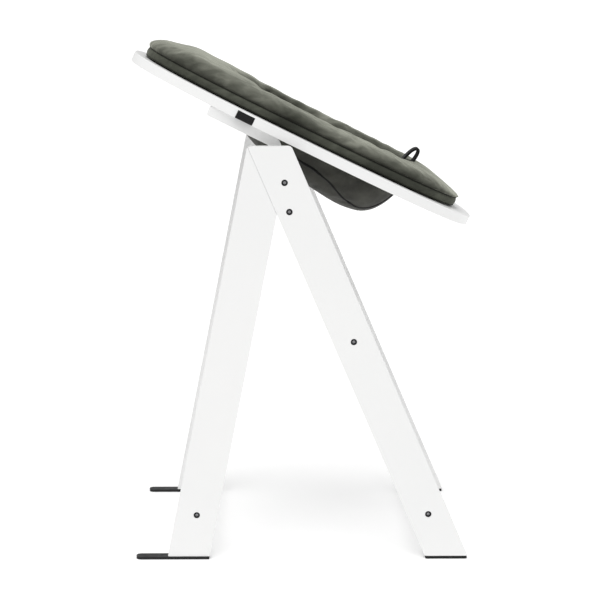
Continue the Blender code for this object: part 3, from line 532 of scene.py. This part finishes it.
def smooth_group():
    """Node group that shades a solid smooth except over its sharp edges."""
    group = bpy.data.node_groups.new("smooth_by_angle", 'GeometryNodeTree')
    group.interface.new_socket("Geometry", in_out='INPUT', socket_type='NodeSocketGeometry')
    group.interface.new_socket("Geometry", in_out='OUTPUT', socket_type='NodeSocketGeometry')
    start = group.nodes.new("NodeGroupInput")
    end = group.nodes.new("NodeGroupOutput")
    faces = group.nodes.new("GeometryNodeSetShadeSmooth")
    faces.domain = 'FACE'
    edges = group.nodes.new("GeometryNodeSetShadeSmooth")
    edges.domain = 'EDGE'
    edges.inputs["Shade Smooth"].default_value = False
    angle = group.nodes.new("GeometryNodeInputMeshEdgeAngle")
    sharp = group.nodes.new("ShaderNodeMath")
    sharp.operation = 'GREATER_THAN'
    sharp.inputs[1].default_value = SMOOTH_ANGLE
    group.links.new(start.outputs[0], faces.inputs["Geometry"])
    group.links.new(faces.outputs[0], edges.inputs["Geometry"])
    group.links.new(angle.outputs["Unsigned Angle"], sharp.inputs[0])
    group.links.new(sharp.outputs[0], edges.inputs["Selection"])
    group.links.new(edges.outputs[0], end.inputs[0])
    return group


shading = smooth_group()
for node_name, solid in nodes.items():
    weld = solid.modifiers.new("weld", 'WELD')
    weld.merge_threshold = 0.00002
    solid.modifiers.new("shading", 'NODES').node_group = shading

# ---- padded top -----------------------------------------------------------------------------

TOP_SEGMENTS = 208
CREST_STATIONS = (
    (-0.318, 0.1165), (-0.300, 0.1195), (-0.285, 0.1212), (-0.268, 0.1230), (-0.250, 0.1290),
    (-0.232, 0.1310), (-0.200, 0.1285), (-0.150, 0.1270), (-0.112, 0.1258), (-0.100, 0.1232),
    (-0.060, 0.1222), (0.020, 0.1200), (0.100, 0.1210), (0.200, 0.1205), (0.240, 0.1195),
    (0.262, 0.1150), (0.285, 0.1090), (0.310, 0.1050),
)
HOLLOW_HEAD_U = -0.155
HOLLOW_FOOT_U = 0.198
HOLLOW_HALF_WIDTH = 0.093
HOLLOW_POWER = 2.4
LINER_SCALE = 0.80
LINER_LIFT = 0.0145              # the liner's surface above the pouch's underside


def crest_height(us):
    stations = np.array(CREST_STATIONS)
    smooth = np.zeros_like(us)
    for shift in (-0.008, 0.0, 0.008):
        smooth += np.interp(us + shift, stations[:, 0], stations[:, 1]) / 3
    return smooth


# The outer roll: (inset at the sides, share of the rise at the sides, inset at the ends, share
# of the rise at the ends). The rise runs from the seam to the crest.
ROLL_PROFILE = (
    (0.0020, 0.00, 0.0000, 0.00), (0.0002, 0.04, -0.0014, 0.06), (-0.0010, 0.12, -0.0022, 0.15),
    (-0.0014, 0.22, -0.0022, 0.28), (-0.0010, 0.33, -0.0010, 0.42), (0.0004, 0.44, 0.0014, 0.56),
    (0.0030, 0.55, 0.0050, 0.70), (0.0070, 0.655, 0.0098, 0.82), (0.0120, 0.745, 0.0160, 0.92),
    (0.0180, 0.82, 0.0240, 0.985),
)
# The crest and its fall into the hollow: (share of the way to the hollow's edge, share of the
# rise at the sides, share of the rise at the ends).
CREST_PROFILE = (
    (0.13, 0.88, 1.00), (0.28, 0.93, 1.00), (0.44, 0.97, 1.00), (0.59, 0.995, 1.00),
    (0.72, 1.00, 1.00), (0.82, 0.985, 0.985), (0.90, 0.93, 0.93), (0.955, 0.84, 0.84),
    (0.985, 0.72, 0.72), (1.00, 0.58, 0.58), (1.01, 0.42, 0.42),
)
CREASE_U = -0.104                # a crease across the rim, next to the harness slots
CREASE_DEPTH = 0.0030
CREASE_WIDTH = 0.006
WALL_STEPS = 6
WALL_BOW = 0.004                 # how far the inner wall bellies out
FLOOR_SHARES = (0.97, 0.92, 0.86, 0.79, 0.71, 0.62, 0.52, 0.41, 0.29, 0.17, 0.07)


def top_surface():
    """Rings of the padded top from the outer seam over the rim and down to the floor. A ring's
    kind is 0 to 1 on the outer roll, 1 to 2 on the crest, 2 to 3 on the inner wall and more
    than 3 on the floor."""
    angles = ring_angles(TOP_SEGMENTS)
    outer_u, outer_y = pad_outline(angles)
    hollow_u, hollow_y = egg(angles, HOLLOW_HEAD_U, HOLLOW_FOOT_U, HOLLOW_HALF_WIDTH,
                             HOLLOW_POWER, HOLLOW_POWER)
    liner_u, liner_y = opening_outline(angles, LINER_SCALE)
    endness = np.abs(np.cos(angles)) ** 4
    width = np.hypot(hollow_u - outer_u, hollow_y - outer_y)
    steps = []
    for number, (side_inset, side_rise, end_inset, end_rise) in enumerate(ROLL_PROFILE):
        inset = side_inset + (end_inset - side_inset) * endness
        steps.append((inset, side_rise + (end_rise - side_rise) * endness, number / len(ROLL_PROFILE)))
    roll_end = steps[-1][0]
    for number, (way, side_rise, end_rise) in enumerate(CREST_PROFILE):
        inset = roll_end + (width - roll_end) * way
        rise = side_rise + (end_rise - side_rise) * endness
        steps.append((inset, rise, 1 + number / len(CREST_PROFILE)))
    rings, kinds = [], []
    for inset, rise, kind in steps:
        share = inset / width
        us = outer_u + (hollow_u - outer_u) * share
        ys = outer_y + (hollow_y - outer_y) * share
        ns = SEAM_N + (crest_height(us) - SEAM_N) * rise
        if kind > 1:
            ns -= CREASE_DEPTH * np.exp(-((us - CREASE_U) / CREASE_WIDTH) ** 2)
        rings.append((us, ys, ns))
        kinds.append(kind)
    last_u, last_y, last_n = rings[-1]
    edge_shares = np.full(TOP_SEGMENTS, FLOOR_SHARES[0])
    floor_edge = DECK_BOTTOM - pouch_depth(liner_u, edge_shares) + LINER_LIFT
    for step in range(1, WALL_STEPS + 1):
        share = step / (WALL_STEPS + 1)
        bow = math.sin(math.pi * share) * WALL_BOW
        us = last_u + (liner_u - last_u) * share
        ys = last_y + (liner_y - last_y) * share
        ns = last_n + (floor_edge - last_n) * share - bow
        rings.append((us, ys, ns))
        kinds.append(2 + share)
    for share in FLOOR_SHARES:
        us, ys = opening_outline(angles, LINER_SCALE * share)
        ns = DECK_BOTTOM - pouch_depth(us, np.full(TOP_SEGMENTS, share)) + LINER_LIFT
        rings.append((us, ys, ns))
        kinds.append(4 - share)
    return rings, kinds


SLOT_PLACES = [(u, side * 0.0865) for u in (-0.086, -0.050) for side in (-1, 1)]
SLOT_DEPTH = 0.0075


def sink_slots(us, ys):
    """1 at the middle of each harness slot, falling to 0 round it."""
    pressed = np.zeros_like(us)
    for slot_u, slot_y in SLOT_PLACES:
        distance = ((us - slot_u) / 0.0085) ** 2 + ((ys - slot_y) / 0.0070) ** 2
        pressed = np.maximum(pressed, np.exp(-distance))
    return pressed


def fabric_wrinkles(us, ys, depth):
    """Short wrinkles across the pad's inner walls."""
    heights = [noise.fractal(Vector((u * 34, y * 9, 0.0)), 0.9, 2.2, 3) for u, y in zip(us, ys)]
    return depth * np.array(heights)


def make_padded_top():
    rings, kinds = top_surface()
    layers, pinned, shade = [], [], []
    for (us, ys, ns), kind in zip(rings, kinds):
        pressed = np.zeros(TOP_SEGMENTS)
        if 1.6 < kind < 2.4:
            pressed = sink_slots(us, ys)
        if kind > 1.2:
            ns = ns + fabric_wrinkles(us, ys, 0.0022 if kind < 3 else 0.0010)
        layers.append(seat_points(us, ys, ns - SLOT_DEPTH * pressed))
        if kind == 0 or kind > 3.2:
            weight = 1.0
        elif kind > 2:
            weight = 0.45
        else:
            weight = 0.25
        pinned += list(np.maximum(weight, pressed > 0.4))
        # Painted shade: the velvet is darkened over the lower part of the outer roll next to the seam, and darker
        # still in the harness slots.
        painted_light_level = min(max((kind - 0.05) / 0.75, 0.0), 1.0)
        shade += list(painted_light_level - 1.2 * pressed)
    faces = ring_faces(len(rings), TOP_SEGMENTS)
    floor_n = DECK_BOTTOM - full_depth(OPENING_MIDDLE_U) + LINER_LIFT
    pole = len(rings) * TOP_SEGMENTS
    layers.append(np.array([tuple(seat_point(OPENING_MIDDLE_U, 0, floor_n))]))
    faces += pole_faces(pole - TOP_SEGMENTS, TOP_SEGMENTS, pole)
    piece = mesh_piece("padded_top", np.concatenate(layers), faces, VELVET)
    set_painted_light_level(piece, shade + [1.0])
    outward = -1 if points_inward(piece) else 1
    inflate(piece, pinned + [1.0], pressure=1.2 * outward, extra=0.010, cap=0.005)
    subdivide(piece)
    return piece


padded_top = make_padded_top()
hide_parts("cushion_rim", "seat_liner")
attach(padded_top, "seat")

# ---- gusset band ----------------------------------------------------------------------------

BAND_PROFILE = (                 # (inset from the outline, height)
    (0.012, 0.0825), (0.004, 0.0820), (0.0008, 0.0830), (-0.0004, 0.0850), (-0.0010, 0.0880),
    (-0.0010, 0.0910), (-0.0004, 0.0940), (0.0010, 0.0962), (0.0045, 0.0975), (0.0140, 0.0980),
)


def make_band():
    angles = ring_angles(TOP_SEGMENTS)
    rings = []
    for inset, height in BAND_PROFILE:
        us, ys = pad_outline(angles, inset)
        rings.append(seat_points(us, ys, np.full(TOP_SEGMENTS, height)))
    inner_u, inner_y = opening_outline(angles, 1.02)
    for height in (0.0980, 0.0825):
        rings.append(seat_points(inner_u, inner_y, np.full(TOP_SEGMENTS, height)))
    faces = ring_faces(len(rings), TOP_SEGMENTS, closed_rows=True)
    piece = mesh_piece("gusset_band", np.concatenate(rings), faces, BAND_VELVET)
    set_painted_light_level(piece, np.ones(len(piece.data.vertices)))
    subdivide(piece)
    return piece


band = make_band()
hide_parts("cushion_base")
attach(band, "seat")


OUTLINE_POINTS = 240


def outline_cord(name, inset, height, radius, finish):
    """Piping round the pad."""
    angles = 2 * np.pi * np.arange(OUTLINE_POINTS) / OUTLINE_POINTS
    us, ys = pad_outline(angles, inset)
    points = seat_points(us, ys, np.full(OUTLINE_POINTS, height))
    cord = tube_along(name, points, radius, finish)
    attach(cord, "seat")


outline_cord("upper_piping", 0.0014, 0.0972, 0.0013, BAND_VELVET)
outline_cord("lower_piping", 0.0012, 0.0826, 0.0012, BAND_VELVET)

# ---- pouch ----------------------------------------------------------------------------------

POUCH_SEGMENTS = 168
FOLDS = (                        # (u, distance from the middle, direction, length, depth)
    (0.030, 0.101, 0.15, 0.030, 0.0034), (0.062, 0.095, 0.10, 0.026, 0.0040),
    (0.092, 0.087, 0.05, 0.024, 0.0036), (-0.020, 0.098, 0.20, 0.026, 0.0028),
    (0.120, 0.072, 0.00, 0.020, 0.0030),
)
POUCH_SHARES = (0.995, 0.975, 0.95, 0.92, 0.88, 0.83, 0.77, 0.70, 0.62, 0.53, 0.43, 0.32, 0.20,
                0.09)
POUCH_SCALE = 0.985              # the hanging part against the opening
POUCH_NECK = (                   # (scale against the opening, height) from the flange down
    (1.10, DECK_TOP + 0.0010), (1.04, DECK_TOP + 0.0010), (POUCH_SCALE, DECK_TOP - 0.0005),
    (0.983, 0.070), (0.983, 0.0615),
)


def fold_depth(us, ys):
    """Soft folds of the pouch that run out from its side seams."""
    total = np.zeros_like(us)
    for fold_u, fold_y, direction, length, depth in FOLDS:
        along, across = us - fold_u, np.abs(ys) - fold_y
        run = along * math.cos(direction) + across * math.sin(direction)
        off = across * math.cos(direction) - along * math.sin(direction)
        total += depth * np.exp(-(run / length) ** 2 - (off / 0.0055) ** 2)
    return total


def make_pouch():
    angles = ring_angles(POUCH_SEGMENTS)
    rings = []
    for grow, height in POUCH_NECK:
        us, ys = opening_outline(angles, grow)
        rings.append(seat_points(us, ys, np.full(POUCH_SEGMENTS, height)))
    for share in POUCH_SHARES:
        us, ys = opening_outline(angles, share * POUCH_SCALE)
        depth = pouch_depth(us, np.full(POUCH_SEGMENTS, share)) - fold_depth(us, ys)
        rings.append(seat_points(us, ys, DECK_BOTTOM - depth))
    points = np.concatenate(rings)
    faces = ring_faces(len(rings), POUCH_SEGMENTS)
    pole = len(points)
    bottom = seat_point(OPENING_MIDDLE_U, 0, DECK_BOTTOM - full_depth(OPENING_MIDDLE_U))
    points = np.concatenate([points, np.array([tuple(bottom)])])
    faces += pole_faces(pole - POUCH_SEGMENTS, POUCH_SEGMENTS, pole)
    piece = mesh_piece("fabric_pouch", points, faces, POUCH_CLOTH)
    pinned = [1.0] * (len(POUCH_NECK) * POUCH_SEGMENTS)
    pinned += [0.03] * (len(points) - len(pinned))
    inward = points_inward(piece)
    inflate(piece, pinned, pressure=0.8 if inward else -0.8, extra=0.035, cap=0.005,
            stiffness=9.0)
    solid = piece.modifiers.new("thickness", 'SOLIDIFY')
    solid.thickness = 0.0012
    solid.offset = 0
    subdivide(piece)
    return piece


def surface_n(u, y):
    """Height of the pouch's outer surface under a point of the opening."""
    along = abs(u - OPENING_MIDDLE_U) / (OPENING_HALF_LENGTH * POUCH_SCALE)
    across = abs(y) / (OPENING_HALF_WIDTH * POUCH_SCALE)
    share = min((along ** OPENING_POWER + across ** OPENING_POWER) ** (1 / OPENING_POWER), 1.0)
    return DECK_BOTTOM - pouch_depth(u, share)


SEAM_STATIONS = (                # (u, distance from the middle) along the pouch's side seams
    (-0.108, 0.070), (-0.080, 0.092), (-0.040, 0.102), (0.010, 0.105), (0.050, 0.104),
    (0.085, 0.0995), (0.115, 0.084), (0.142, 0.066), (0.165, 0.056), (0.186, 0.050), (0.201, 0.046),
)


def seam_line(side, samples=90):
    """Points along one side seam of the pouch."""
    stations = np.array(SEAM_STATIONS)
    points = []
    for u in np.linspace(stations[0, 0], stations[-1, 0], samples):
        reach = np.mean([np.interp(u + shift, stations[:, 0], stations[:, 1])
                         for shift in (-0.010, 0.0, 0.010)])
        points.append(seat_point(u, side * reach, surface_n(u, reach)))
    return points


pouch = make_pouch()
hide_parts("seat_pouch")
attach(pouch, "seat")

for side_name, side in (("right", -1), ("left", 1)):
    # The black piping is drawn about 6 mm thick, so it also covers the shadow along the seam: part real piping,
    # part painted shadow.
    line = [pouch.closest_point_on_mesh(point)[1] for point in seam_line(side)]
    seam = tube_along("pouch_piping_and_shadow_" + side_name, line, 0.0028, PIPING, closed=False)
    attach(seam, "seat")

# ---- crotch loop ----------------------------------------------------------------------------


LOOP_WIDTH = 0.025
LOOP_THICKNESS = 0.0042
LOOP_EDGE = 0.0015               # the selvedge
LOOP_U = 0.1995
LOOP_BASE_N = 0.109
LOOP_HEIGHT = 0.0350
LOOP_HALF_GAP = 0.0085
LOOP_SQUARENESS = 0.72           # lower for fuller shoulders
LOOP_LEAN = 0.24                 # towards the foot end, for each metre of height
LOOP_STEPS = 32


def make_loop():
    """A folded webbing loop that stands up out of the pad."""
    rows = []
    for step in range(LOOP_STEPS + 1):
        swing = math.pi * (1 - step / LOOP_STEPS)
        rise = LOOP_HEIGHT * math.sin(swing) ** LOOP_SQUARENESS
        across = LOOP_HALF_GAP * math.cos(swing)
        rows.append((LOOP_U + across + rise * LOOP_LEAN, LOOP_BASE_N + rise))
    half = LOOP_WIDTH / 2
    stations = (-half, -half + LOOP_EDGE, 0, half - LOOP_EDGE, half)
    points = []
    for index, (u, n) in enumerate(rows):
        before = rows[max(index - 1, 0)]
        after = rows[min(index + 1, len(rows) - 1)]
        run, climb = after[0] - before[0], after[1] - before[1]
        length = math.hypot(run, climb)
        side_u = -climb / length * LOOP_THICKNESS / 2
        side_n = run / length * LOOP_THICKNESS / 2
        for y in stations:
            points.append(seat_point(u + side_u, y, n + side_n))
        for y in reversed(stations):
            points.append(seat_point(u - side_u, y, n - side_n))
    around = 2 * len(stations)
    faces = ring_faces(len(rows), around)
    faces.append(tuple(range(around)))
    faces.append(tuple(range((len(rows) - 1) * around, len(rows) * around)))
    return mesh_piece("webbing_loop", points, faces, WEBBING)


loop = make_loop()
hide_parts("crotch_loop")
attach(loop, "seat")

# ---- floor ----------------------------------------------------------------------------------

FLOOR_CORNERS = ((-40, -40, 0), (40, -40, 0), (40, 120, 0), (-40, 120, 0))
FLOOR_GAP = 0.0002

floor = link(bpy.data.objects.new("floor", bpy.data.meshes.new("floor")))
floor.data.from_pydata(FLOOR_CORNERS, [], [(0, 1, 2, 3)])
floor.location.z = cad_low.z - FLOOR_GAP
floor_finish = Finish("floor_look", (0.94, 0.94, 0.94), 0.9, Emission_Strength=0.16)
floor_finish.set("Emission Color", (1, 1, 1, 1))
floor_finish.paint(floor_finish.mix(floor_finish.noise(2.0), (0.95, 0.95, 0.95),
                                    (0.93, 0.93, 0.93)))
floor.data.materials.append(floor_finish.material)

bpy.context.view_layer.update()
